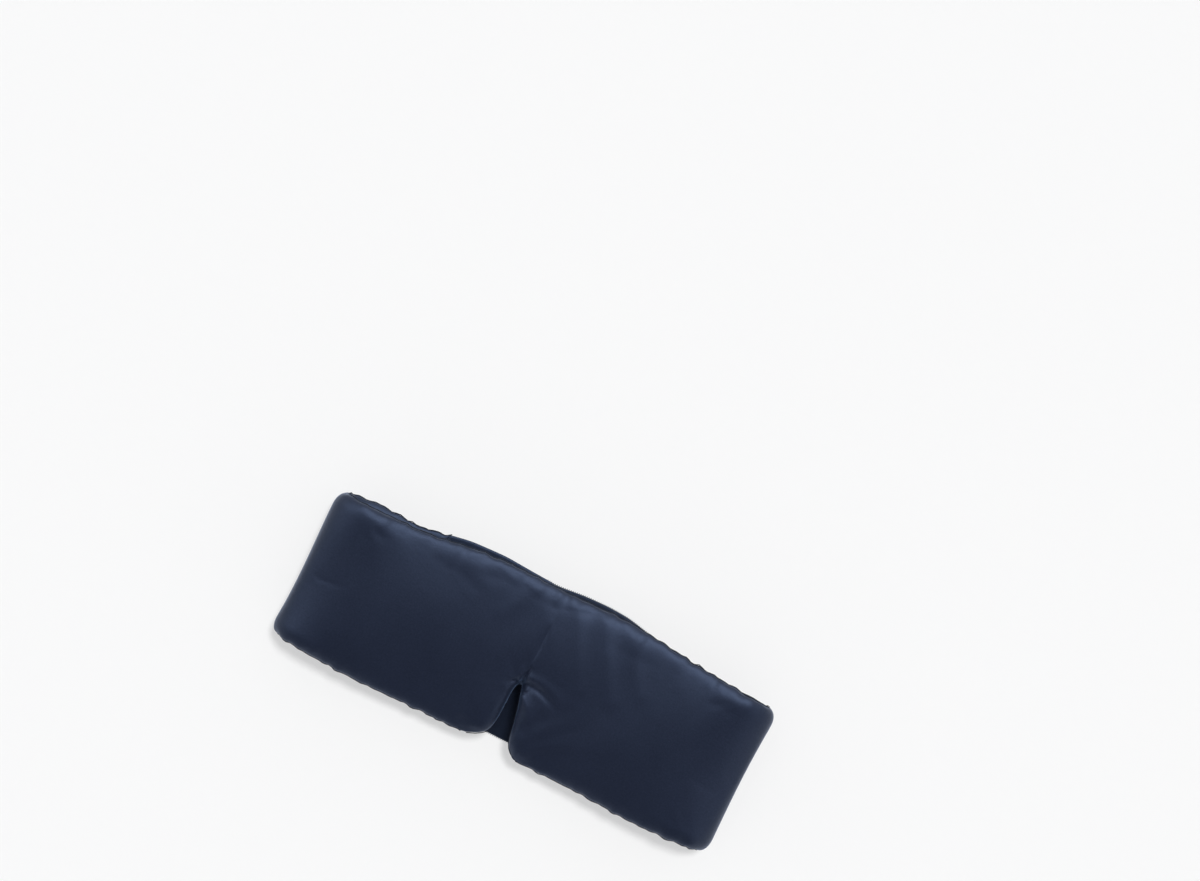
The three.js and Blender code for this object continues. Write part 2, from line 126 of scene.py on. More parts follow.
# Sides of the nose slit as (y, x), from the cheek edge up.
SLIT_LEFT = [
    (-50.4, -17), (-49.7, -13.5), (-47.6, -8.5), (-45.6, -5.2), (-43.4, -2.8), (-38.5, -1.2),
    (-33, -0.5), (-24, -0.4), (-16, -0.3), (-12.8, 0.1), (-10.6, 0.9), (-8.8, 2.2),
]
SLIT_RIGHT = [
    (-51.6, 24), (-51.3, 21.5), (-50.3, 17.4), (-48.6, 14.8), (-46.4, 12.8), (-43, 11.0),
    (-38.3, 9.9), (-33, 9.0), (-24, 6.9), (-18, 5.2), (-12, 3.6), (-8.8, 2.2),
]
SLIT_TOP = (2.2, -8.9)


def smooth_line(points, spread=7.0):
    """A function through points, with its corners rounded over about that length."""
    xs = np.arange(points[0][0] - 40.0, points[-1][0] + 40.0, 1.0)
    ys = np.interp(xs, [p[0] for p in points], [p[1] for p in points])
    reach = np.arange(-30, 31)
    weights = np.exp(-0.5 * (reach / spread) ** 2)
    padded = np.pad(ys, 30, mode="edge")
    ys = np.convolve(padded, weights / weights.sum(), mode="valid")
    return lambda x: np.interp(x, xs, ys)


front_brow = smooth_line(BROW_EDGE)
front_cheek = smooth_line(CHEEK_EDGE)
rear_brow = smooth_line(REAR_BROW, 3.5)
rear_cheek = smooth_line(REAR_CHEEK)


def waves(s, parts, phase=0.0):
    """A sum of sines, as (amplitude, wavelength) parts: an uneven line that is the same each run."""
    total = np.zeros_like(np.asarray(s, float))
    for k, (amplitude, length) in enumerate(parts):
        total += amplitude * np.sin(2 * math.pi * s / length + 1.7 * k * k + phase)
    return total


def quarter(share):
    """Rises from 0 to 1 as a quarter circle."""
    inner = 1 - np.clip(share, 0, 1)
    return np.sqrt(np.maximum(0, 1 - inner * inner))


def smoothstep(value):
    """Rises from 0 to 1, level at both ends."""
    value = np.clip(value, 0, 1)
    return value * value * (3 - 2 * value)


def eye_share(x):
    """How much of the eyes' extra padding there is at x: none at a fold, all of it over an eye."""
    return smoothstep((FOLD_X - np.abs(x)) / EYE_BLEND)


def front_middle(x):
    """Height of the front's middle surface, which hangs down between the folds."""
    sag = SAG * smoothstep((SAG_REACH - np.abs(x)) / SAG_REACH)
    return FRONT_Z + (CROWN_RISE - EYE_EXTRA) * eye_share(x) - sag


def line_distance(points, x, y):
    """Distance from each (x, y) to a line of points, and how far along the line that is, 0 to 1."""
    best = np.full(x.shape, 1e9)
    where = np.zeros(x.shape)
    count = len(points) - 1
    for i in range(count):
        x0, y0 = points[i]
        dx, dy = points[i + 1][0] - x0, points[i + 1][1] - y0
        t = np.clip(((x - x0) * dx + (y - y0) * dy) / (dx * dx + dy * dy), 0, 1)
        away = np.hypot(x - x0 - t * dx, y - y0 - t * dy)
        where = np.where(away < best, (i + t) / count, where)
        best = np.minimum(best, away)
    return best, where


def spacing(length, fine, step):
    """Stations from 0 to length: fine ones at the start, then about a step apart."""
    rest = length - fine[-1]
    count = max(1, round(rest / step))
    return np.array([*fine, *(fine[-1] + rest * (k + 1) / count for k in range(count))])


FINE = [0, 0.6, 1.4, 2.4, 3.6, 5.0, 6.6, 8.4]      # stations beside a seam
WIDTH = 101.0               # nominal width that the rows are spaced over
SLIT_ROWS = (26.0, 56.0)    # rows between these distances from the cheek edge are close together
SLIT_ROW_STEP = 1.25
ROW_STEP = 2.3
FRONT_STEP = 2.5
REAR_STEP = 2.6
ARC_STEPS = 20


def row_shares():
    """Where the rows of points lie, as shares of the way from the cheek edge to the brow edge."""
    low = spacing(SLIT_ROWS[0], FINE, ROW_STEP)
    middle = np.arange(SLIT_ROWS[0] + SLIT_ROW_STEP, SLIT_ROWS[1], SLIT_ROW_STEP)
    high = WIDTH - spacing(WIDTH - SLIT_ROWS[1], FINE, ROW_STEP)[::-1]
    return np.concatenate([low, middle, high]) / WIDTH


ROWS = row_shares()


def slit_side(side):
    """x of the slit's side, or of the middle above the slit, for each row."""
    points = SLIT_LEFT if side < 0 else SLIT_RIGHT
    bottom, top = front_cheek(SLIT_TOP[0]), front_brow(SLIT_TOP[0])
    y = bottom + ROWS * (top - bottom)
    return np.interp(y, [p[0] for p in points], [p[1] for p in points])


# Folds in the cover as (points, height, width). The first ones run from the tacked top of the
# slit, and the wide ones lie across the right eye.
COVER_FOLDS = [
    ([(2.2, -9.6), (1.9, -5), (2.6, -1), (3.6, 3)], -3.6, 1.2),
    ([(3.0, -8.8), (7.5, -7.4), (14, -8.0), (21, -10.4), (29, -14.5)], -2.5, 2.3),
    ([(4.0, -11.4), (7.0, -13.4), (11.5, -18.6)], -1.4, 1.3),
    ([(1.2, -9.2), (-1.0, -8.2), (-3.4, -9.6), (-4.6, -12.6)], -2.6, 1.1),
    ([(0.6, -7.6), (-6, -2), (-14, 6)], -0.6, 2.6),
    ([(5.4, -14.0), (9.4, -18.5), (15, -25.5), (20, -33)], 1.6, 3.0),
    ([(7.0, -10.8), (12, -12.6), (19, -16.5)], -1.1, 3.6),
    ([(5.0, -4.0), (12, -2.8), (20, -4.2), (30, -8.0)], 0.9, 2.8),
    ([(-1.4, -5.5), (-1.4, 2)], 0.6, 2.0),
    ([(-3.0, -16), (-7, -14), (-13, -15)], 0.5, 2.8),
]
WIDE_FOLDS = [
    ([(13, 45), (19, 30), (27, 14), (33, 4)], 0.8, 4.6),
    ([(30, 46), (37, 32), (46, 16), (52, 6)], 1.0, 5.0),
    ([(50, 45), (57, 30), (66, 17)], 0.7, 5.0),
    ([(78, 44), (84, 32)], 0.4, 5.0),
    ([(-16, 46), (-20, 34), (-26, 24)], 0.5, 5.0),
]


def fold_field(x, y):
    """Height of the folds in the cover over its plain padded surface."""
    height = np.zeros(x.shape)
    for points, rise, width in COVER_FOLDS:
        away, where = line_distance(points, x, y)
        fade = (1 - where) ** 0.8 * smoothstep(where * 8 + 0.45)
        height += rise * fade * np.exp(-((away / width) ** 2))
    for points, rise, width in WIDE_FOLDS:
        away, where = line_distance(points, x, y)
        height += rise * np.exp(-((away / width) ** 2)) * (1 - 0.5 * where)
    return height


SEAM_WAVES = [(0.34, 8.3), (0.34, 11.9), (0.26, 16.7), (0.16, 6.1)]
PUCKER_WAVES = [(0.4, 6.6), (0.45, 9.1), (0.35, 13.7), (0.2, 5.1)]
BROW_PHASE, CHEEK_PHASE = 2.1, 0.4      # where each edge's waves start
GATHER_SIZE = 1.15
GATHER_REACH = 5.0      # how far in from a seam its gathers move the cloth
PUCKER_ROUND = 3.0      # how far in from a seam a pucker has its full height

MIDDLE, FRONT_END, WING_PAD = 0, 1, 2   # regions of the band; a front end has half of its fold


def band_grid(side):
    """The columns and rows of points of one half of the band, from the slit to the pad's end.

    Returns x and the turn round the fold of each point, x of the slit's side for each row, and the
    region of each column."""
    edge = slit_side(side) * side
    columns = spacing(ARC_X, FINE, FRONT_STEP) / ARC_X
    front_x = edge[None, :] + columns[:, None] * (ARC_X - edge[None, :])
    turn = np.linspace(0, math.pi, ARC_STEPS + 1)[1:]
    pad_end = abs(pad_end_x(side))
    rear_x = pad_end + spacing(ARC_X - pad_end, FINE, REAR_STEP)[::-1][1:]

    fold_start = len(columns)
    fold_end = fold_start + len(turn)
    x = np.zeros((fold_end + len(rear_x), len(ROWS)))
    arc = np.zeros(x.shape)
    x[:fold_start] = front_x
    x[fold_start:fold_end] = ARC_X
    arc[fold_start:fold_end] = turn[:, None]
    x[fold_end:] = rear_x[:, None]
    arc[fold_end:] = math.pi

    region = np.full(len(x), WING_PAD)
    region[:fold_start] = np.where(columns * ARC_X > MIDDLE_SPLIT, FRONT_END, MIDDLE)
    region[fold_start : fold_start + int(np.sum(turn <= math.pi / 2 + 1e-6))] = FRONT_END
    return x, arc, edge, region


def pad_end_x(side):
    return RIGHT_PAD_END if side > 0 else LEFT_PAD_END


def band_width(side, x, arc):
    """y of each point, and its distance to the nearer seam."""
    share = arc / math.pi
    squeeze = np.sin(arc) * FOLD_SQUEEZE
    low = (1 - share) * front_cheek(side * x) + share * rear_cheek(side * x) + squeeze
    high = (1 - share) * front_brow(side * x) + share * rear_brow(side * x) - squeeze
    y = low + ROWS * (high - low)
    return y, np.minimum(y - low, high - y)


def slit_distance(side, x, y, arc, edge):
    """Distance of each point to the nose slit, for the points on the front."""
    slit_points = [(px, py) for py, px in SLIT_LEFT] + [(px, py) for py, px in SLIT_RIGHT[-2::-1]]
    away = np.where(arc == 0, line_distance(slit_points, side * x, y)[0], FAR)
    beside = np.abs(side * x - edge * side) < 1e-9
    return np.where(beside & (y < SLIT_TOP[1]), 0.0, away)


def half_thickness(x, arc, to_seam, to_slit, to_end):
    """Half the padding's thickness: rounded at the seams, and crowned over the whole width."""
    lies_flat = (arc == 0) | (arc == math.pi)
    full = FOLD_HALF + EYE_EXTRA * np.where(arc == 0, eye_share(x), 0.0)
    straight = np.where(lies_flat, smoothstep((ARC_X - x) / CROWN_BLEND), 0.0)
    at_seam = quarter(to_seam / (FOLD_ROUND + (EDGE_ROUND - FOLD_ROUND) * straight))
    crown = quarter(2 * np.minimum(ROWS, 1 - ROWS))
    half = (full - SWELL) * (at_seam + CROWN * straight * (crown - at_seam))
    return half * quarter(to_slit / SLIT_ROUND) * quarter(to_end / END_ROUND)


def middle_surface(side, x, arc, to_seam, to_end):
    """x and z of the padding's middle surface, and the direction out of its outer face."""
    on_front = arc == 0
    on_rear = arc == math.pi
    end_full = FOLD_HALF * quarter(to_end / END_ROUND)
    right_rear = np.minimum(REAR_Z, np.maximum(end_full, LEAST_REAR_Z))
    rear_z = right_rear if side > 0 else np.full(x.shape, REAR_Z)
    steep = np.hypot(np.sin(arc) / ARC_LENGTH, np.cos(arc) / ARC_HEIGHT)
    normal_x = np.where(on_front | on_rear, 0, np.sin(arc) / ARC_LENGTH / steep)
    normal_z = np.cos(arc) / ARC_HEIGHT / steep
    corner = (1 - quarter(to_seam / CORNER_REACH)) * CORNER_PULL
    length = ARC_LENGTH - (corner + END_HOLLOW * np.sin(math.pi * ROWS)) * np.sin(arc)
    middle_x = np.where(on_front | on_rear, x, ARC_X + length * np.sin(arc))
    turned = ARC_Z + ARC_HEIGHT * np.cos(arc)
    middle_z = np.where(on_front, front_middle(x), np.where(on_rear, rear_z, turned))
    return middle_x, middle_z, normal_x, normal_z


def gathers(s, to_seam):
    """How far the gathers push the cloth along y, and the height of the puckers beside the seams.
    s is the length along the band from the slit, negative on its left half."""
    brow_side = ROWS > 0.5
    shift = np.where(brow_side, BROW_PHASE, CHEEK_PHASE)
    strength = 0.62 + 0.38 * np.sin(s / 13.0 + shift * 2) * np.sin(s / 31.0 + shift)
    brow_line = waves(s, SEAM_WAVES, BROW_PHASE)
    cheek_line = waves(s, SEAM_WAVES, CHEEK_PHASE)
    gather = strength * np.where(brow_side, brow_line, cheek_line)
    outwards = np.where(brow_side, 1.0, -1.0)
    push = outwards * gather * np.exp(-to_seam / GATHER_REACH) * GATHER_SIZE
    reach = 4.0 + 2.5 * np.sin(s / 9.0 + shift)
    pucker = np.where(brow_side, waves(s, PUCKER_WAVES, 1.3), waves(s, PUCKER_WAVES, 4.0))
    return push, pucker * np.exp(-to_seam / reach) * quarter(to_seam / PUCKER_ROUND)


def half_band(side):
    """Outer and inner surface of one half of the band, from the slit round the fold to the pad's end.

    Returns outer, inner (columns, rows, 3), flat (columns, rows, 2) for the weave, each point's
    distance to the nearest edge, and the region of each column."""
    x, arc, edge, region = band_grid(side)
    y, to_seam = band_width(side, x, arc)
    to_slit = slit_distance(side, x, y, arc, edge)
    to_end = np.where(arc == math.pi, x - abs(pad_end_x(side)), FAR)
    half = half_thickness(x, arc, to_seam, to_slit, to_end)
    middle_x, middle_z, normal_x, normal_z = middle_surface(side, x, arc, to_seam, to_end)

    mean_radius = (ARC_HEIGHT + ARC_LENGTH) / 2
    past_fold = np.where(arc == math.pi, ARC_X - x, 0.0)
    along = np.where(arc == 0, x, ARC_X + mean_radius * arc + past_fold)
    push, fold = gathers(side * along, to_seam)
    y = y + push
    inner_fold = np.roll(fold, 2, axis=0)

    surface = side * middle_x
    drift = 0.35 * np.sin(surface / 23.0 + y / 31.0) + 0.3 * np.sin(surface / 13.0 - y / 17.0 + 1.0)
    drift = drift * quarter(to_seam / DRIFT_REACH) * quarter(to_slit / 8.0)
    least = LEAST_RISE * np.minimum(half, 1)
    closed = half < 1e-6
    outer_rise = np.where(closed, 0, np.maximum(half + 0.75 * fold + drift, least))
    inner_rise = np.where(closed, 0, np.maximum(half + 0.6 * inner_fold + 0.5 * drift, least))

    def placed(rise):
        return np.stack([side * (middle_x + normal_x * rise), y, middle_z + normal_z * rise], axis=-1)

    flat = np.stack([side * along, y], axis=-1)
    to_edge = np.minimum(np.minimum(to_seam, to_slit), to_end)
    return placed(outer_rise), placed(-inner_rise), flat, to_edge, region


HALVES = {side: half_band(side) for side in (-1, 1)}

REGION_NAMES = {
    (0, MIDDLE): "front_middle",
    (-1, FRONT_END): "left_front_end",
    (1, FRONT_END): "right_front_end",
    (-1, WING_PAD): "left_wing_pad",
    (1, WING_PAD): "right_wing_pad",
}
LAYER_NAMES = ("cover", "lining")


def seam_lines(key):
    """The brow and cheek seams of one region of the band, as lines of points."""
    lines = []
    for side, (outer, _, _, _, region) in HALVES.items():
        if key[0] not in (0, side):
            continue
        columns = np.nonzero(region == key[1])[0]
        first = max(columns[0] - 1, 0)
        for row in (0, -1):
            lines.append([tuple(point) for point in outer[first : columns[-1] + 1, row]])
    return lines


def band_mesh():
    """The whole padded band as one closed mesh, with each face's piece in a layer."""
    bm = bmesh.new()
    uv_layer = bm.loops.layers.uv.new("band")
    piece_layer = bm.faces.layers.int.new("piece")
    edge_layer = bm.verts.layers.float.new("to_edge")
    keys = list(REGION_NAMES)
    for side, (outer, inner, flat, to_edge, region) in HALVES.items():
        columns, rows = outer.shape[:2]
        for layer, points in enumerate((outer, inner)):
            grid = []
            for i in range(columns):
                grid.append([bm.verts.new(Vector(point) * MM) for point in points[i]])
                for j in range(rows):
                    grid[i][j][edge_layer] = to_edge[i, j]
            flip = (side > 0) == (layer == 1)
            for i in range(columns - 1):
                area = int(region[i + 1])
                key = keys.index((0, MIDDLE) if area == MIDDLE else (side, area))
                for j in range(rows - 1):
                    corners = [(i, j), (i + 1, j), (i + 1, j + 1), (i, j + 1)]
                    if flip:
                        corners.reverse()
                    face = bm.faces.new([grid[a][b] for a, b in corners])
                    face[piece_layer] = 2 * key + layer
                    face.smooth = True
                    for loop, (a, b) in zip(face.loops, corners):
                        loop[uv_layer].uv = flat[a, b] * MM
    bmesh.ops.remove_doubles(bm, verts=bm.verts, dist=0.02 * MM)
    mesh = bpy.data.meshes.new("band")
    bm.to_mesh(mesh)
    bm.free()
    return mesh


def link(name, data):
    """Puts a mesh, a camera or a light into the scene."""
    made = bpy.data.objects.new(name, data)
    bpy.context.scene.collection.objects.link(made)
    return made


SIM_FRAMES = 20
SIM_CAP = 2.5           # furthest that the simulation may move a point, in millimetres
SEWN_WITHIN = 0.05      # points this close to an edge are sewn down
SPARE_REACH = 24        # spare cloth lies within this distance of an edge
SPARE_STEP = 2
FLOOR_GAP = 0.05        # the cloth stays this far off the floor


def vertex_positions(mesh):
    """Every point of a mesh, as rows of x, y and z in metres."""
    co = np.zeros(len(mesh.vertices) * 3)
    mesh.vertices.foreach_get("co", co)
    return co.reshape(-1, 3)


def puff(band):
    """Inflates the band as cloth sewn down at its seams, with a little spare cloth along them."""
    mesh = band.data
    start = vertex_positions(mesh)
    to_edge = np.zeros(len(start), np.float32)
    mesh.attributes["to_edge"].data.foreach_get("value", to_edge)
    sewn = band.vertex_groups.new(name="sewn")
    sewn.add(np.nonzero(to_edge < SEWN_WITHIN)[0].tolist(), 1.0, "REPLACE")
    spare = band.vertex_groups.new(name="spare")
    for low in range(0, SPARE_REACH, SPARE_STEP):
        ring = np.nonzero((to_edge >= low) & (to_edge < low + SPARE_STEP))[0].tolist()
        spare.add(ring, math.exp(-low / 8.0), "REPLACE")

    cloth = band.modifiers.new("cloth", "CLOTH")
    settings = cloth.settings
    settings.quality = 5
    settings.mass = 0.3
    settings.tension_stiffness = 40
    settings.compression_stiffness = 40
    settings.shear_stiffness = 12
    settings.bending_stiffness = 0.3
    settings.effector_weights.gravity = 0
    settings.use_pressure = True
    settings.uniform_pressure_force = 4
    settings.vertex_group_mass = "sewn"
    settings.vertex_group_shrink = "spare"
    settings.shrink_min = 0.0
    settings.shrink_max = -0.07
    cloth.point_cache.frame_start = 1
    cloth.point_cache.frame_end = SIM_FRAMES
    scene = bpy.context.scene
    for step in range(1, SIM_FRAMES + 1):
        scene.frame_set(step)
    settled = band.evaluated_get(bpy.context.evaluated_depsgraph_get()).to_mesh()
    moved = vertex_positions(settled) - start
    length = np.linalg.norm(moved, axis=1)
    cap = SIM_CAP * MM
    share = cap * np.tanh(length / cap) / np.maximum(length, 1e-9)
    placed = start + moved * share[:, None]
    placed[:, 2] = np.maximum(placed[:, 2], FLOOR_GAP * MM)
    band.modifiers.remove(cloth)
    mesh.vertices.foreach_set("co", placed.ravel())
    scene.frame_set(1)


FOLD_AT_SLIT = 0.5      # the cover's folds fade as if the slit were this much further off
FOLD_SLIT_ROUND = 2.4   # distance from the slit over which they fade
FOLD_SEAM_ROUND = 7.0   # the same for the seams


def refine(band):
    """Subdivides the band once, then presses the cover's folds into it."""
    smooth = band.modifiers.new("smooth", "SUBSURF")
    smooth.levels = 1
    depsgraph = bpy.context.evaluated_depsgraph_get()
    mesh = bpy.data.meshes.new_from_object(band.evaluated_get(depsgraph))
    band.modifiers.clear()
    band.data = mesh
    co = vertex_positions(mesh) / MM
    piece_of = np.zeros(len(mesh.polygons), np.int32)
    mesh.attributes["piece"].data.foreach_get("value", piece_of)
    corners = np.zeros(len(mesh.loops), np.int32)
    mesh.loops.foreach_get("vertex_index", corners)
    corner_counts = np.zeros(len(mesh.polygons), np.int32)
    mesh.polygons.foreach_get("loop_total", corner_counts)
    outside = np.ones(len(co), bool)
    outside[corners[np.repeat(piece_of % 2 == 1, corner_counts)]] = False
    outside &= (co[:, 2] > ARC_Z) & (np.abs(co[:, 0]) < ARC_X)
    x, y = co[outside, 0], co[outside, 1]
    slit = line_distance([*zip(*slit_outline())], x, y)[0] + FOLD_AT_SLIT
    seam = np.maximum(np.minimum(front_brow(x) - y, y - front_cheek(x)), 0)
    co[outside, 2] += fold_field(x, y) * quarter(slit / FOLD_SLIT_ROUND) * quarter(seam / FOLD_SEAM_ROUND)
    mesh.vertices.foreach_set("co", (co * MM).ravel())


SLIT_STEPS = 90


def slit_outline():
    """The slit's outline as x and y values, from the left cheek lobe over its top to the right one."""
    left = [(x, y) for y, x in SLIT_LEFT[1:-1]]
    right = [(x, y) for y, x in SLIT_RIGHT[1:-1]]
    line = np.array(left + [SLIT_TOP] + right[::-1])
    steps = np.concatenate([[0], np.cumsum(np.hypot(*np.diff(line, axis=0).T))])
    even = np.linspace(0, steps[-1], SLIT_STEPS)
    return np.interp(even, steps, line[:, 0]), np.interp(even, steps, line[:, 1])


def split_band(band):
    """One object for each piece of the band, keeping the whole band's normals across the cuts."""
    mesh = band.data
    co = vertex_positions(mesh)
    normals = np.zeros(len(co) * 3, np.float32)
    mesh.vertex_normals.foreach_get("vector", normals)
    normals = normals.reshape(-1, 3)
    piece_of = np.zeros(len(mesh.polygons), np.int32)
    mesh.attributes["piece"].data.foreach_get("value", piece_of)
    uv = np.zeros(len(mesh.loops) * 2)
    mesh.uv_layers["band"].data.foreach_get("uv", uv)
    uv = uv.reshape(-1, 2)
    made = {}
    for index, key in enumerate(REGION_NAMES):
        for layer, layer_name in enumerate(LAYER_NAMES):
            chosen = [p for p in mesh.polygons if piece_of[p.index] == 2 * index + layer]
            used = sorted({v for p in chosen for v in p.vertices})
            renumber = {v: k for k, v in enumerate(used)}
            faces = [[renumber[v] for v in p.vertices] for p in chosen]
            name = f"{REGION_NAMES[key]}_{layer_name}"
            part = bpy.data.meshes.new(name)
            part.from_pydata([tuple(c) for c in co[used]], [], faces)
            part.shade_smooth()
            layer_uv = part.uv_layers.new(name="band")
            loops = [i for p in chosen for i in p.loop_indices]
            layer_uv.data.foreach_set("uv", uv[loops].ravel())
            part.normals_split_custom_set_from_vertices(normals[used].tolist())
            made[name] = link(name, part)
    return made


# ---- Materials ----------------------------------------------------------------------------

def node_material(name):
    material = bpy.data.materials.new(name)
    material.use_nodes = True
    tree = material.node_tree
    tree.nodes.clear()
    output = tree.nodes.new("ShaderNodeOutputMaterial")
    shader = tree.nodes.new("ShaderNodeBsdfPrincipled")
    tree.links.new(shader.outputs["BSDF"], output.inputs["Surface"])
    return material, tree, shader


def add_node(tree, kind, links=(), **values):
    """A node with its settings and socket values, and links as (socket, where it comes from)."""
    node = tree.nodes.new(kind)
    for key, value in values.items():
        if hasattr(node, key):
            setattr(node, key, value)
        else:
            node.inputs[key.replace("_", " ")].default_value = value
    for socket, source in links:
        tree.links.new(source, node.inputs[socket])
    return node


def noise(tree, vector, scale, detail=3.0, roughness=0.55):
    node = add_node(tree, "ShaderNodeTexNoise", [("Vector", vector)])
    node.inputs["Scale"].default_value = scale
    node.inputs["Detail"].default_value = detail
    node.inputs["Roughness"].default_value = roughness
    return node.outputs["Fac"]


def stretched(tree, source, scale):
    node = add_node(tree, "ShaderNodeMapping", [("Vector", source)])
    node.inputs["Scale"].default_value = scale
    return node.outputs["Vector"]


def ramp(tree, value, stops):
    node = add_node(tree, "ShaderNodeValToRGB", [("Fac", value)])
    elements = node.color_ramp.elements
    for element, (position, colour) in zip(elements, stops):
        element.position = position
        element.color = (*colour, 1)
    for position, colour in stops[len(elements):]:
        element = elements.new(position)
        element.color = (*colour, 1)
    return node.outputs["Color"]


def bump(tree, height, strength, distance, normal=None):
    links = [("Height", height)] + ([("Normal", normal)] if normal else [])
    node = add_node(tree, "ShaderNodeBump", links)
    node.inputs["Strength"].default_value = strength
    node.inputs["Distance"].default_value = distance
    return node.outputs["Normal"]


def satin(name, dark, light, roughness, sheen):
    """Charmeuse satin: long floats one way, soft cloudy tone, a little sheen."""
    material, tree, shader = node_material(name)
    uv = add_node(tree, "ShaderNodeUVMap", uv_map="band").outputs["UV"]
    cloud = noise(tree, uv, 26.0, 2.0)
    floats = noise(tree, stretched(tree, uv, (4200.0, 330.0, 1.0)), 1.0, 2.0, 0.6)
    cross = noise(tree, stretched(tree, uv, (500.0, 3000.0, 1.0)), 1.0, 1.0, 0.5)
    wear = noise(tree, uv, 430.0, 4.0, 0.7)
    tone = add_node(tree, "ShaderNodeMix", [("A", cloud), ("B", floats)], data_type="FLOAT")
    tone.inputs["Factor"].default_value = 0.34
    speck = add_node(tree, "ShaderNodeMix", [("A", tone.outputs["Result"]), ("B", wear)], data_type="FLOAT")
    speck.inputs["Factor"].default_value = 0.36
    colour = ramp(tree, speck.outputs["Result"], [(0.3, dark), (0.7, light)])
    grain = noise(tree, uv, 900.0, 3.0, 0.75)
    grey = ramp(tree, grain, [(0.28, (0.72, 0.72, 0.74)), (0.72, (1.26, 1.24, 1.20))])
    mottled = add_node(
        tree, "ShaderNodeMix", [("A", colour), ("B", grey)], data_type="RGBA", blend_type="MULTIPLY",
    )
    mottled.inputs["Factor"].default_value = 1.0
    tree.links.new(mottled.outputs["Result"], shader.inputs["Base Color"])
    gloss = add_node(tree, "ShaderNodeMapRange", [("Value", cloud)])
    gloss.inputs["To Min"].default_value = roughness - 0.03
    gloss.inputs["To Max"].default_value = roughness + 0.03
    tree.links.new(gloss.outputs["Result"], shader.inputs["Roughness"])
    weave = bump(tree, floats, 0.28, 0.00016)
    weave = bump(tree, cross, 0.16, 0.00012, weave)
    weave = bump(tree, wear, 0.16, 0.0004, weave)
    weave = bump(tree, grain, 0.12, 0.0003, weave)
    tree.links.new(weave, shader.inputs["Normal"])
    shader.inputs["Specular IOR Level"].default_value = 0.36
    shader.inputs["Specular Tint"].default_value = (0.46, 0.62, 1.0, 1)
    shader.inputs["Sheen Weight"].default_value = sheen
    shader.inputs["Sheen Roughness"].default_value = 0.42
    shader.inputs["Sheen Tint"].default_value = (0.34, 0.52, 0.92, 1)
    return material


def thread_material(name, dark, light, sheen=0.25):
    """Twisted thread: plies that run slantwise, with a little fuzz."""
    material, tree, shader = node_material(name)
    place = add_node(tree, "ShaderNodeTexCoord").outputs["Object"]
    plies = add_node(tree, "ShaderNodeTexWave", [("Vector", place)])
    plies.bands_direction = "DIAGONAL"
    plies.inputs["Scale"].default_value = 433.0
    plies.inputs["Distortion"].default_value = 1.5
    fuzz = noise(tree, place, 1900.0, 3.0)
    colour = ramp(tree, fuzz, [(0.3, dark), (0.7, light)])
    tree.links.new(colour, shader.inputs["Base Color"])
    tree.links.new(bump(tree, plies.outputs["Fac"], 0.5, 0.0001), shader.inputs["Normal"])
    shader.inputs["Roughness"].default_value = 0.62
    shader.inputs["Specular IOR Level"].default_value = 0.2
    shader.inputs["Sheen Weight"].default_value = sheen
    shader.inputs["Sheen Tint"].default_value = (0.5, 0.66, 0.95, 1)
    return material


def pile_material(name, dark, light, scale, strength, moulded):
    """Hook or loop tape: even rows of moulded cells, or brushed loops, over a woven ground."""
    material, tree, shader = node_material(name)
    place = add_node(tree, "ShaderNodeTexCoord").outputs["Object"]
    cells = add_node(tree, "ShaderNodeTexVoronoi", [("Vector", place)])
    cells.inputs["Scale"].default_value = scale
    cells.inputs["Randomness"].default_value = 0.35 if moulded else 1.0
    fuzz = noise(tree, place, scale * 1.9, 5.0, 0.7)
    mixed = add_node(
        tree, "ShaderNodeMix", [("A", cells.outputs["Distance"]), ("B", fuzz)], data_type="FLOAT",
    )
    mixed.inputs["Factor"].default_value = 0.35 if moulded else 0.7
    colour = ramp(tree, mixed.outputs["Result"], [(0.2, light), (0.75, dark)])
    tree.links.new(colour, shader.inputs["Base Color"])
    tree.links.new(bump(tree, mixed.outputs["Result"], strength, 0.0005), shader.inputs["Normal"])
    shader.inputs["Roughness"].default_value = 0.5 if moulded else 0.85
    shader.inputs["Sheen Weight"].default_value = 0.0 if moulded else 0.4
    return material


COVER_SATIN = satin("cover_satin", (0.0067, 0.0090, 0.0190), (0.0104, 0.0136, 0.0272), 0.44, 0.2)
LINING_SATIN = satin("lining_satin", (0.0070, 0.0105, 0.0225), (0.011, 0.0155, 0.031), 0.46, 0.18)
STRAP_SATIN = satin("strap_satin", (0.0045, 0.0065, 0.0130), (0.0080, 0.0110, 0.021), 0.56, 0.15)
SEAM_THREAD = thread_material("seam_thread", (0.010, 0.016, 0.032), (0.030, 0.046, 0.080))
BINDING_THREAD = thread_material("binding_thread", (0.004, 0.006, 0.012), (0.009, 0.013, 0.024), sheen=0.0)
SEAM_LINE = thread_material("seam_line_thread", (0.005, 0.007, 0.014), (0.011, 0.016, 0.029), sheen=0.05)
HOOKS = pile_material("moulded_hooks", (0.004, 0.005, 0.008), (0.022, 0.025, 0.036), 900.0, 0.9, True)
LOOPS = pile_material("brushed_loops", (0.006, 0.008, 0.014), (0.022, 0.027, 0.044), 1400.0, 0.8, False)


def dress(made, material):
    made.data.materials.clear()
    made.data.materials.append(material)
    return made


# ---- Padded band --------------------------------------------------------------------------

band = link("band", band_mesh())
puff(band)
refine(band)
pieces = split_band(band)
bpy.data.objects.remove(band)



def bend(made):
    """Bakes a piece's placement into its mesh."""
    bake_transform(made)


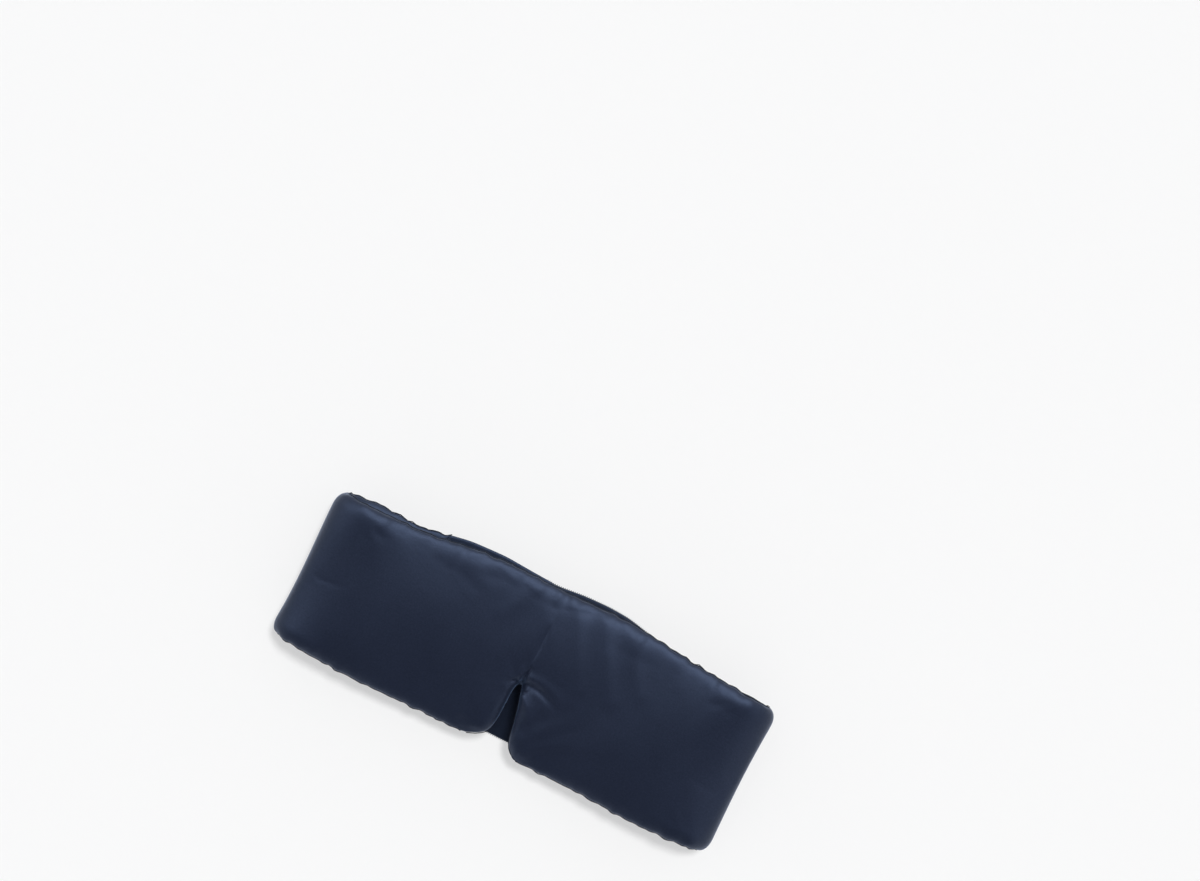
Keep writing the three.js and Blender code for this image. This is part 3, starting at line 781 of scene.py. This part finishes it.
def mount_pieces():
    """Dresses every padded piece, puts the front's middle pieces on the front body and bakes the others in
    place, and hides the plain solids they stand in for.
    """
    for name, made in pieces.items():
        is_cover = name.endswith("cover")
        dress(made, COVER_SATIN if is_cover else LINING_SATIN)
    for layer_name in LAYER_NAMES:
        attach(pieces[f"front_middle_{layer_name}"], "front")
        for side, name in ((-1, "left"), (1, "right")):
            bend(pieces[f"{name}_front_end_{layer_name}"])
            bend(pieces[f"{name}_wing_pad_{layer_name}"])

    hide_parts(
        "front_cover", "left_eye_filling", "bridge_filling", "right_eye_filling",
    )
    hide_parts("front_lining", "blackout_interlining")
    for name in ("left", "right"):
        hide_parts(f"{name}_temple_cover", f"{name}_temple_filling")
        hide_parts(f"{name}_temple_lining")
        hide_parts(f"{name}_wing_cover", f"{name}_wing_filling")
        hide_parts(f"{name}_wing_lining")


mount_pieces()


# ---- Thread and flat pieces ---------------------------------------------------------------

def tube_mesh(name, lines, radius, sides=6):
    """Round threads along lines of points in millimetres, in one mesh."""
    bm = bmesh.new()
    for points in lines:
        path = [Vector(p) for p in points]
        rings = []
        for i, point in enumerate(path):
            ahead = path[min(i + 1, len(path) - 1)] - path[max(i - 1, 0)]
            ahead.normalize()
            helper = Vector((0, 0, 1)) if abs(ahead.z) < 0.9 else Vector((1, 0, 0))
            across = ahead.cross(helper).normalized()
            up = across.cross(ahead)
            ring = []
            for k in range(sides):
                angle = 2 * math.pi * k / sides
                offset = across * math.cos(angle) + up * math.sin(angle)
                ring.append(bm.verts.new((point + offset * radius) * MM))
            rings.append(ring)
        for a, b in zip(rings, rings[1:]):
            for k in range(sides):
                n = (k + 1) % sides
                bm.faces.new([a[k], a[n], b[n], b[k]])
        bm.faces.new(rings[0][::-1])
        bm.faces.new(rings[-1])
    bmesh.ops.recalc_face_normals(bm, faces=bm.faces)
    for face in bm.faces:
        face.smooth = True
    mesh = bpy.data.meshes.new(name)
    bm.to_mesh(mesh)
    bm.free()
    return link(name, mesh)


def sheet_faces(columns, rows):
    """Faces of two grids of points, one under the other, and of the rim between them."""
    block = columns * rows
    faces = []
    for i in range(columns - 1):
        for j in range(rows - 1):
            a = i * rows + j
            faces.append((a, a + rows, a + rows + 1, a + 1))
            b = block + a
            faces.append((b, b + 1, b + rows + 1, b + rows))
    rim = [i * rows for i in range(columns)]
    rim += [(columns - 1) * rows + j for j in range(1, rows)]
    rim += [i * rows + rows - 1 for i in range(columns - 2, -1, -1)]
    rim += list(range(rows - 2, 0, -1))
    for a, b in zip(rim, rim[1:] + rim[:1]):
        faces.append((a, block + a, block + b, b))
    return faces


CLOTH_COLUMNS = 46
CLOTH_ROWS = 34
CLOTH_ROUND = 1.1       # rounding of a flat piece's edge
CLOTH_END_GAP = 0.25    # its ends are rounded as if they were this much further off


def flat_mesh(name, x0, x1, low, high, level, thickness, corner=0.0):
    """A soft flat piece of cloth: rounded edge, faint waves. low and high give its edges at x.
    A corner radius rounds the two corners at x0."""
    x = np.linspace(x0, x1, CLOTH_COLUMNS)
    inner_rows = np.linspace(0.035, 0.965, CLOTH_ROWS)
    rows = np.concatenate([[0, 0.006, 0.016], inner_rows, [0.984, 0.994, 1]])
    points = []
    for face in (1, -1):
        for px in x:
            inset = 0.0
            reach = abs(px - x0)
            if corner and reach < corner:
                inset = corner - math.sqrt(max(0.0, corner**2 - (corner - reach) ** 2))
            bottom, top = low(px) + inset, high(px) - inset
            for share in rows:
                y = bottom + share * (top - bottom)
                edge = min(share, 1 - share) * (top - bottom)
                round_off = float(quarter(min(edge, reach + CLOTH_END_GAP) / CLOTH_ROUND))
                wave = 0.10 * math.sin(px / 5.1 + y / 19) + 0.08 * math.sin(y / 6.3 - px / 14)
                half = thickness / 2 * (0.25 + 0.75 * round_off)
                points.append((px, y, level + max(-0.02, wave * 0.5) + face * half))
    mesh = bpy.data.meshes.new(name)
    mesh.from_pydata([tuple(c * MM for c in p) for p in points], [], sheet_faces(len(x), len(rows)))
    bm = bmesh.new()
    bm.from_mesh(mesh)
    bmesh.ops.recalc_face_normals(bm, faces=bm.faces)
    uv_layer = bm.loops.layers.uv.new("band")
    for face in bm.faces:
        face.smooth = True
        for loop in face.loops:
            loop[uv_layer].uv = loop.vert.co.xy
    bm.to_mesh(mesh)
    bm.free()
    return link(name, mesh)


def node_span(node):
    """A CAD node's box in millimetres, as its low and its high corner."""
    low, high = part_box(node)
    return low / MM, high / MM


strap_low, strap_high = node_span("rear_strap")
tab_low, tab_high = node_span("closure_tab")
panel_low, panel_high = node_span("loop_panel")
STRAP_THICK = strap_high.z - strap_low.z
STRAP_LEVEL = (strap_high.z + strap_low.z) / 2
THINNER = 0.1           # the flat pieces are this much thinner than their solids
SEWN_IN = 1.5           # how far a flat piece runs on into the wing's padding
TAB_CORNER = 14.0
PANEL_CORNER = 5.0


def make_strap():
    """The flat strap that runs on from the right wing."""
    strap = flat_mesh(
        "satin_strap", tab_high.x + 0.1, strap_high.x + SEWN_IN,
        lambda x: rear_cheek(x) + 0.4, lambda x: rear_brow(x) - 0.4,
        STRAP_LEVEL, STRAP_THICK - THINNER,
    )
    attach(dress(strap, STRAP_SATIN), "right_wing")
    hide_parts("rear_strap")


def make_tab():
    """The tab that peels off the loop panel, with two rounded corners."""
    tab = flat_mesh(
        "satin_tab", tab_low.x, tab_high.x,
        lambda x: rear_cheek(tab_high.x) + 0.2, lambda x: rear_brow(tab_high.x) - 0.2,
        STRAP_LEVEL, STRAP_THICK - THINNER, TAB_CORNER,
    )
    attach(dress(tab, STRAP_SATIN), "closure_tab")
    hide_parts("closure_tab")


def make_loop_panel():
    """The panel at the end of the left wing, which the tab closes on."""
    panel = flat_mesh(
        "satin_loop_panel", panel_high.x, panel_low.x - SEWN_IN, rear_cheek, rear_brow,
        (panel_low.z + panel_high.z) / 2, panel_high.z - panel_low.z - THINNER, PANEL_CORNER,
    )
    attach(dress(panel, LINING_SATIN), "left_wing")
    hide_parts("loop_panel")


make_strap()
make_tab()
make_loop_panel()


THREAD_RADIUS = 0.16
OVERLOCK_PITCH = 1.25
STEPS_PER_TURN = 10


def overlock(name, edge, side, node):
    """Thread wrapped over a raw edge in close turns."""
    low, high = node_span(node)
    turns = int((high.x - low.x) / OVERLOCK_PITCH)
    steps = turns * STEPS_PER_TURN
    wrap = []
    for k in range(steps + 1):
        x = low.x + (high.x - low.x) * k / steps
        angle = 2 * math.pi * turns * k / steps
        y = edge(x) + side * (0.75 + 0.85 * math.cos(angle))
        z = STRAP_LEVEL + 0.1 + 0.72 * math.sin(angle)
        wrap.append((x + 0.25 * math.sin(angle), y, z))
    made = tube_mesh(name, [wrap], THREAD_RADIUS, 5)
    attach(dress(made, SEAM_THREAD), "right_wing")
    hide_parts(node)


overlock("cheek_overlock_thread", rear_cheek, 1, "strap_cheek_overlock")
overlock("brow_overlock_thread", rear_brow, -1, "strap_brow_overlock")


ZIGZAG_INSET = 0.5
ZIGZAG_PITCH = 0.9
ZIGZAG_SWING = 0.55


def zigzag(name, node, body):
    """Zigzag thread round a tape, in place of its plain stitch ring."""
    low, high = node_span(node)
    level = (low.z + high.z) / 2
    inset = ZIGZAG_INSET
    corners = [
        (low.x + inset, low.y + inset), (high.x - inset, low.y + inset),
        (high.x - inset, high.y - inset), (low.x + inset, high.y - inset),
    ]
    line = []
    for (ax, ay), (bx, by) in zip(corners, corners[1:] + corners[:1]):
        length = math.hypot(bx - ax, by - ay)
        dx, dy = (bx - ax) / length, (by - ay) / length
        count = int(length / ZIGZAG_PITCH)
        for k in range(count):
            swing = ZIGZAG_SWING if k % 2 else -ZIGZAG_SWING
            step = k * length / count
            line.append((ax + dx * step - dy * swing, ay + dy * step + dx * swing, level))
    line.append(line[0])
    made = tube_mesh(name, [line], THREAD_RADIUS, 5)
    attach(dress(made, SEAM_THREAD), body)
    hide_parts(node)


zigzag("hook_tape_zigzag", "hook_tape_stitching", "closure_tab")
zigzag("loop_tape_zigzag", "loop_tape_stitching", "left_wing")
for node, material in (("hook_tape", HOOKS), ("loop_tape", LOOPS)):
    dress(frame["nodes"][node], material)


def topstitch(name, body):
    """Short stitches round the tab, a few millimetres in from its edge, on both faces."""
    inset = 3.0
    stitch = 2.1
    gap = 0.9
    x0, x1 = tab_low.x + inset, tab_high.x - 0.6
    y0, y1 = rear_cheek(tab_high.x) + inset, rear_brow(tab_high.x) - inset
    corner = TAB_CORNER - inset
    line = [(x1, y0), (x0 + corner, y0)]
    line += [
        (x0 + corner - corner * math.sin(a), y0 + corner - corner * math.cos(a))
        for a in np.linspace(0, math.pi / 2, 9)[1:]
    ]
    line += [
        (x0 + corner - corner * math.cos(a), y1 - corner + corner * math.sin(a))
        for a in np.linspace(0, math.pi / 2, 9)
    ]
    line += [(x1, y1)]
    line = np.array(line)
    steps = np.concatenate([[0], np.cumsum(np.hypot(*np.diff(line, axis=0).T))])
    stitches = []
    for start in np.arange(0.5, steps[-1] - stitch, stitch + gap):
        share = np.linspace(start, start + stitch, 4)
        x = np.interp(share, steps, line[:, 0])
        y = np.interp(share, steps, line[:, 1])
        for face in (1, -1):
            lift = np.array([-0.04, 0.08, 0.08, -0.04]) + STRAP_THICK / 2 - 0.08
            stitches.append([(a, b, STRAP_LEVEL + face * c) for a, b, c in zip(x, y, lift)])
    made = tube_mesh(name, stitches, 0.15, 5)
    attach(dress(made, SEAM_THREAD), body)


topstitch("tab_topstitching", "closure_tab")


SEAM_RADIUS = 0.3


def add_seams():
    """The sewn line along both edges of the band, bent at the folds as the band is."""
    for key, region_name in REGION_NAMES.items():
        made = tube_mesh(f"{region_name}_seam_line", seam_lines(key), SEAM_RADIUS, 6)
        dress(made, SEAM_LINE)
        name = "left" if key[0] < 0 else "right"
        if key[1] == MIDDLE:
            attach(made, "front")
            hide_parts("brow_seam", "left_cheek_seam", "right_cheek_seam")
        elif key[1] == FRONT_END:
            bend(made)
            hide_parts(f"{name}_temple_brow_seam", f"{name}_temple_cheek_seam")
        else:
            bend(made)
            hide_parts(f"{name}_wing_brow_seam", f"{name}_wing_cheek_seam")


add_seams()


def finish_slit():
    """The slit's turned edge, and close wraps of thread over the top of the slit."""
    slit_x, slit_y = slit_outline()
    slit_z = front_middle(slit_x)
    binding = tube_mesh("slit_binding", [list(zip(slit_x, slit_y, slit_z))], 0.26, 8)
    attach(dress(binding, BINDING_THREAD), "front")
    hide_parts("nose_slit_binding")

    wraps = 7
    wrap_gap = 0.22
    base = slit_z[SLIT_STEPS // 2] + 0.5
    tack_lines = []
    for k in range(wraps):
        y = SLIT_TOP[1] - 0.9 + wrap_gap * k
        rise = 0.55 - 0.03 * (k - wraps // 2) ** 2
        tack_lines.append([
            (SLIT_TOP[0] + dx, y + 0.03 * dx, base + rise * math.cos(dx))
            for dx in (-1.5, -0.75, 0, 0.75, 1.5)
        ])
    tack = tube_mesh("slit_bar_tack", tack_lines, 0.13, 5)
    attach(dress(tack, SEAM_THREAD), "front")
    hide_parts("nose_bar_tack")


finish_slit()


# ---- Studio -------------------------------------------------------------------------------

VIEW_TURN = math.radians(27.08)      # the mask lies this far round from the picture's level
VIEW_CENTRE = (-21.5, 138.6)         # the middle of the picture, from the mask's middle
VIEW_WIDTH = 700.0                   # what the picture spans at the mask's face
LENS = 80.0
SENSOR = 36.0
STUDIO_RADIUS = 5.5                  # metres, like the next three
WALL_HEIGHT = 2.2
WALL_MIDDLE = 1.0
FLOOR_LEVEL = -0.0006


def make_camera():
    data = bpy.data.cameras.new("camera")
    data.lens = LENS
    data.sensor_width = SENSOR
    data.clip_start = 0.05
    data.clip_end = 50
    made = link("camera", data)
    height = VIEW_WIDTH * LENS / SENSOR + FRONT_Z
    made.location = Vector((*VIEW_CENTRE, height)) * MM
    made.rotation_euler = (0, 0, VIEW_TURN)
    bpy.context.scene.camera = made


def make_floor():
    """A pale floor that glows a little, as an overexposed table does, and hides nothing from below."""
    size = 6.0
    mesh = bpy.data.meshes.new("floor")
    corners = [(-size, -size, 0), (size, -size, 0), (size, size, 0), (-size, size, 0)]
    mesh.from_pydata(corners, [], [(0, 1, 2, 3)])
    made = link("floor", mesh)
    made.location.z = FLOOR_LEVEL
    material, tree, shader = node_material("floor")
    shader.inputs["Base Color"].default_value = (0.43, 0.43, 0.43, 1)
    shader.inputs["Roughness"].default_value = 0.9
    shader.inputs["Specular IOR Level"].default_value = 0.05
    shader.inputs["Emission Color"].default_value = (1, 1, 1, 1)
    shader.inputs["Emission Strength"].default_value = 0.498
    output = next(n for n in tree.nodes if n.type == "OUTPUT_MATERIAL")
    clear = add_node(tree, "ShaderNodeBsdfTransparent")
    back = add_node(tree, "ShaderNodeNewGeometry").outputs["Backfacing"]
    sides = [(0, back), (1, shader.outputs[0]), (2, clear.outputs[0])]
    mixed = add_node(tree, "ShaderNodeMixShader", sides)
    tree.links.new(mixed.outputs[0], output.inputs["Surface"])
    made.data.materials.append(material)


def make_wall():
    """A round studio wall, so that low views have a pale ground behind the mask."""
    bm = bmesh.new()
    bmesh.ops.create_cone(
        bm, cap_ends=False, segments=64, radius1=STUDIO_RADIUS, radius2=STUDIO_RADIUS, depth=WALL_HEIGHT,
    )
    mesh = bpy.data.meshes.new("wall")
    bm.to_mesh(mesh)
    bm.free()
    made = link("wall", mesh)
    made.location.z = WALL_MIDDLE
    made.visible_shadow = False
    material, tree, shader = node_material("wall")
    shader.inputs["Base Color"].default_value = (0.6, 0.6, 0.6, 1)
    shader.inputs["Emission Color"].default_value = (1, 1, 1, 1)
    shader.inputs["Emission Strength"].default_value = 0.5
    made.data.materials.append(material)


def make_world():
    world = bpy.data.worlds.new("studio")
    bpy.context.scene.world = world
    world.use_nodes = True
    background = world.node_tree.nodes["Background"]
    background.inputs["Color"].default_value = (0.95, 0.97, 1.0, 1)
    background.inputs["Strength"].default_value = 0.3


def sun(name, towards, power, angle):
    data = bpy.data.lights.new(name, "SUN")
    data.energy = power
    data.angle = math.radians(angle)
    made = link(name, data)
    made.rotation_euler = Vector(towards).to_track_quat("Z", "Y").to_euler()
    return made


UP = Vector((0, 0, 1))
# Directions in the picture, laid on the floor: to its right and up it.
PICTURE_RIGHT = Vector((math.cos(VIEW_TURN), math.sin(VIEW_TURN), 0))
PICTURE_UP = Vector((-math.sin(VIEW_TURN), math.cos(VIEW_TURN), 0))
SHEENS = (
    ("brow_sheen", Vector((0.05, 1.0, 0.8)), 3.3),
    ("left_sheen", Vector((-1.0, 0.45, 0.8)), 1.6),
    ("right_sheen", Vector((1.0, 0.1, 0.7)), 0.5),
)


def make_lights():
    """One soft sun overhead for the colour and the shadow, and three that only add sheen."""
    overhead = sun("overhead", UP + 0.24 * PICTURE_RIGHT + 0.26 * PICTURE_UP, 2.25, 12)
    overhead.visible_glossy = False
    for name, towards, power in SHEENS:
        sheen_light = sun(name, towards, power, 46)
        sheen_light.visible_diffuse = False


make_camera()
make_floor()
make_wall()
make_world()
make_lights()
bpy.context.scene.view_settings.view_transform = "Standard"
